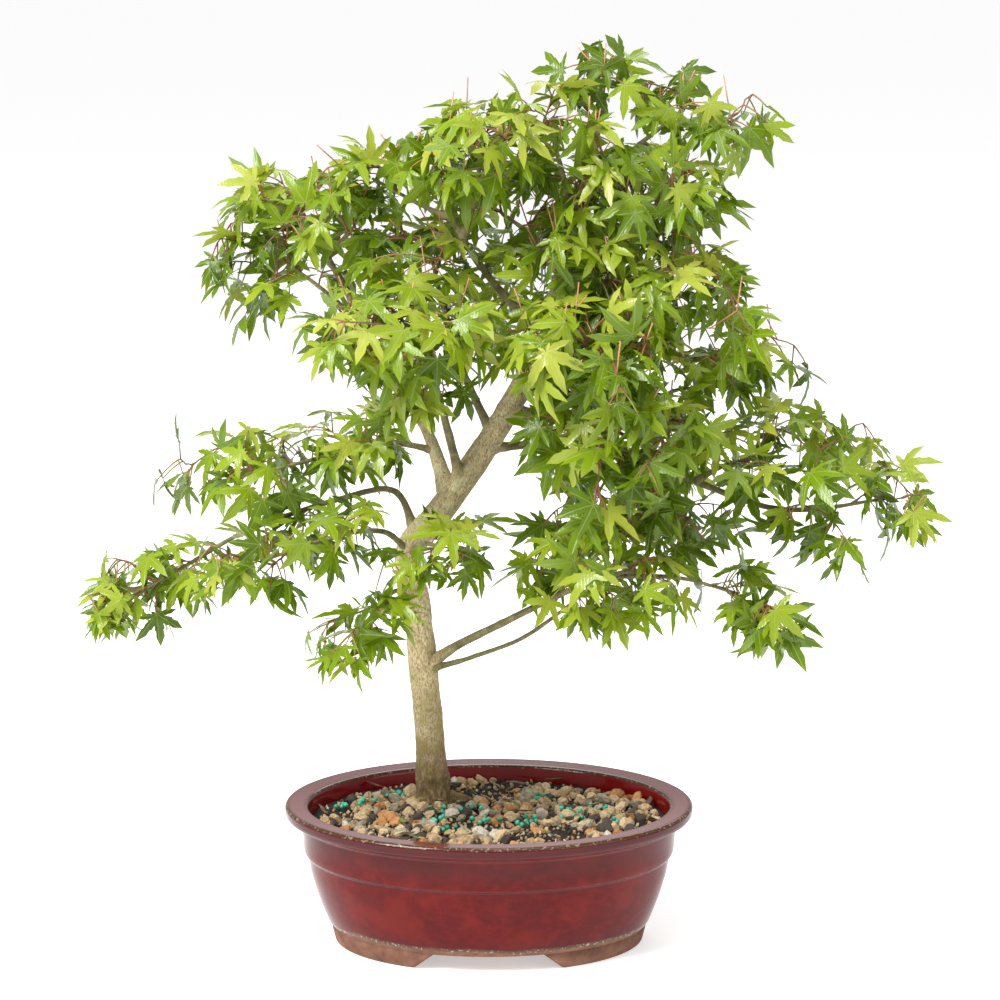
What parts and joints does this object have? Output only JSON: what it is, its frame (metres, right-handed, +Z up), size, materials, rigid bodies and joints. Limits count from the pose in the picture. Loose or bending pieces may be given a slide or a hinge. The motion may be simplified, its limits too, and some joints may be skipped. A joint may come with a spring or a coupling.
{
  "type": "potted maple bonsai",
  "caption": "Small leaning maple tree with layered foliage pads, growing in gravel-topped soil in an oval footed glazed pot.",
  "frame": {"origin": "the point on the table under the middle of the whole plant's box; the middle of the pot is 13 mm to -X and 4 mm to -Y of it", "axes": "+Z up, +X along the pot's long side towards the side that the tree leans to, +Y towards the back"},
  "size_m": [0.5328, 0.2554, 0.5759],
  "materials": {
    "pot_glaze": "glossy oxblood glaze over unglazed brown clay feet",
    "screen_plastic": "moulded netting",
    "screen_wire": "soft annealed wire",
    "potting_soil": "damp gritty soil",
    "top_gravel": "mixed tan and grey pea gravel",
    "bark": "finely furrowed tan-grey bark",
    "leaves": "soft green leaves with a slight sheen"
  },
  "bodies": {
    "root": {"pot": "pot_glaze", "drain_screen_left": "screen_plastic", "drain_screen_right": "screen_plastic", "screen_wire_left": "screen_wire", "screen_wire_right": "screen_wire", "soil": "potting_soil", "gravel": "top_gravel", "trunk_and_branches": "bark", "foliage_apex": "leaves", "foliage_apex_left": "leaves", "foliage_apex_right": "leaves", "foliage_upper_centre": "leaves", "foliage_upper_left": "leaves", "foliage_upper_mid_left": "leaves", "foliage_middle_left": "leaves", "foliage_centre_left": "leaves", "foliage_centre": "leaves", "foliage_upper_right": "leaves", "foliage_middle_right": "leaves", "foliage_front_left": "leaves", "foliage_front_centre": "leaves", "foliage_front_right": "leaves", "foliage_right_shoulder": "leaves", "foliage_right_inner": "leaves", "foliage_right_outer": "leaves", "foliage_right_tip": "leaves", "foliage_low_right": "leaves", "foliage_low_outer": "leaves", "foliage_low_centre": "leaves", "foliage_left_inner": "leaves", "foliage_left_outer": "leaves", "foliage_left_front": "leaves", "foliage_left_low": "leaves", "foliage_left_reach": "leaves", "foliage_left_tip": "leaves", "foliage_left_hanging": "leaves", "foliage_back_low": "leaves", "foliage_back_middle": "leaves", "foliage_back_upper": "leaves"}
  },
  "joints": []
}
